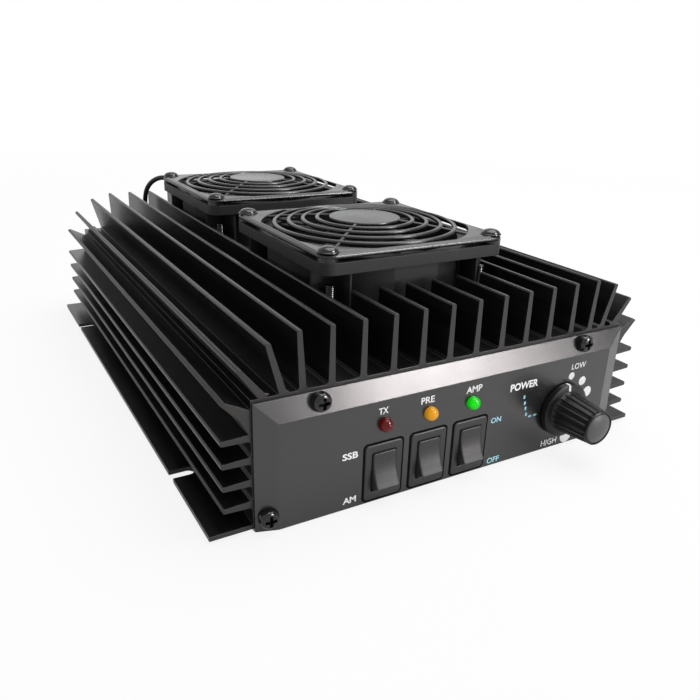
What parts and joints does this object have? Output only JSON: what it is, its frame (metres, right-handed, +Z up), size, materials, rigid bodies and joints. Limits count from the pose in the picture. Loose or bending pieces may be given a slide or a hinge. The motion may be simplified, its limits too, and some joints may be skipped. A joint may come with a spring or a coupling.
{
  "type": "hf linear amplifier",
  "caption": "Mobile HF linear amplifier: black finned heatsink case with top fans under guards, rocker switches, indicator lamps and a power knob on a bevelled front panel.",
  "frame": {"origin": "centre of the finned case's footprint, on the surface that the bottom plate stands on", "axes": "+Z up, front panel towards -Y, +X to the right as seen from the front"},
  "size_m": [0.186, 0.2886, 0.0818],
  "materials": {
    "anodised": "black anodised extrusion, satin",
    "panel_paint": "matt black powder coat",
    "plate": "mill finish",
    "black_screw": "black oxide, glossy",
    "steel": "zinc plated",
    "red_lens": "clear red lens",
    "amber_lens": "amber lens",
    "green_lens": "lit green lens",
    "black_plastic": "fine matt black",
    "switch_plastic": "satin black",
    "fan_plastic": "black glass-filled nylon",
    "guard_plastic": "satin black",
    "cap_plastic": "satin grey",
    "tin": "bright tinned",
    "copper": "enamelled copper wire",
    "nickel": "bright nickel",
    "brass": "plain",
    "white_resin": "white insulator resin",
    "rubber": "black",
    "wire": "black PVC",
    "board": "green glass-epoxy",
    "ferrite": "dark grey sintered",
    "ceramic": "white ceramic lid on a plated flange",
    "relay_case": "blue case",
    "fuse_case": "orange blade fuse",
    "can": "sleeved can"
  },
  "bodies": {
    "chassis": {"amplifier_led": "green_lens", "board_screws": "steel", "board_standoffs": "brass", "bottom_plate": "plate", "bottom_plate_screws": "black_screw", "cable_gland": "black_plastic", "circuit_board": "board", "coax_leads": "wire", "electrolytic_capacitors": "can", "fan_guard_screws": "black_screw", "fan_nuts": "steel", "fan_spacers": "steel", "fan_studs": "steel", "filter_coils": "copper", "front_fan_frame": "fan_plastic", "front_fan_guard": "guard_plastic", "front_fan_lead": "wire", "front_fan_motor": "copper", "front_harness": "wire", "front_panel": "panel_paint", "front_panel_screws": "black_screw", "gland_nut": "black_plastic", "heatsink": "anodised", "input_socket": "nickel", "lead_grommets": "rubber", "led_clips": "black_plastic", "mode_switch_body": "switch_plastic", "output_socket": "nickel", "power_fuses": "fuse_case", "power_selector": "black_plastic", "power_switch_body": "switch_plastic", "power_transistors": "ceramic", "preamp_led": "amber_lens", "preamp_switch_body": "switch_plastic", "rear_fan_frame": "fan_plastic", "rear_fan_guard": "guard_plastic", "rear_fan_lead": "wire", "rear_fan_motor": "copper", "rear_panel": "panel_paint", "rear_panel_screws": "black_screw", "relays": "relay_case", "selector_nut": "steel", "selector_washer": "steel", "socket_contacts": "brass", "socket_insulators": "white_resin", "socket_screws": "steel", "switch_terminals": "tin", "transformer_cores": "ferrite", "transformer_frames": "board", "transistor_screws": "steel", "transmit_led": "red_lens"},
    "mode_switch": {"mode_rocker": "switch_plastic"},
    "preamp_switch": {"preamp_rocker": "switch_plastic"},
    "power_switch": {"power_rocker": "switch_plastic"},
    "power_control": {"selector_shaft": "steel", "power_knob": "black_plastic", "power_knob_cap": "cap_plastic", "knob_set_screw": "steel"},
    "front_rotor": {"front_fan_rotor": "fan_plastic"},
    "rear_rotor": {"rear_fan_rotor": "fan_plastic"}
  },
  "joints": [
    {"name": "mode_rocker_tilt", "type": "hinge", "parent": "chassis", "child": "mode_switch", "pos_m": [-0.0329, -0.1255, 0.0121], "axis": [1, 0, 0], "range_deg": [0, 30]},
    {"name": "preamp_rocker_tilt", "type": "hinge", "parent": "chassis", "child": "preamp_switch", "pos_m": [-0.0147, -0.1255, 0.0121], "axis": [1, 0, 0], "range_deg": [0, 30]},
    {"name": "power_rocker_tilt", "type": "hinge", "parent": "chassis", "child": "power_switch", "pos_m": [0.0035, -0.1255, 0.0121], "axis": [1, 0, 0], "range_deg": [0, 30]},
    {"name": "power_knob_turn", "type": "hinge", "parent": "chassis", "child": "power_control", "pos_m": [0.0486, -0.1323, 0.0169], "axis": [0, 1, 0], "range_deg": [0, 150]},
    {"name": "front_fan_spin", "type": "hinge", "parent": "chassis", "child": "front_rotor", "pos_m": [0, -0.0553, 0.062], "axis": [0, 0, 1], "continuous": true},
    {"name": "rear_fan_spin", "type": "hinge", "parent": "chassis", "child": "rear_rotor", "pos_m": [0, 0.0553, 0.062], "axis": [0, 0, 1], "continuous": true}
  ]
}
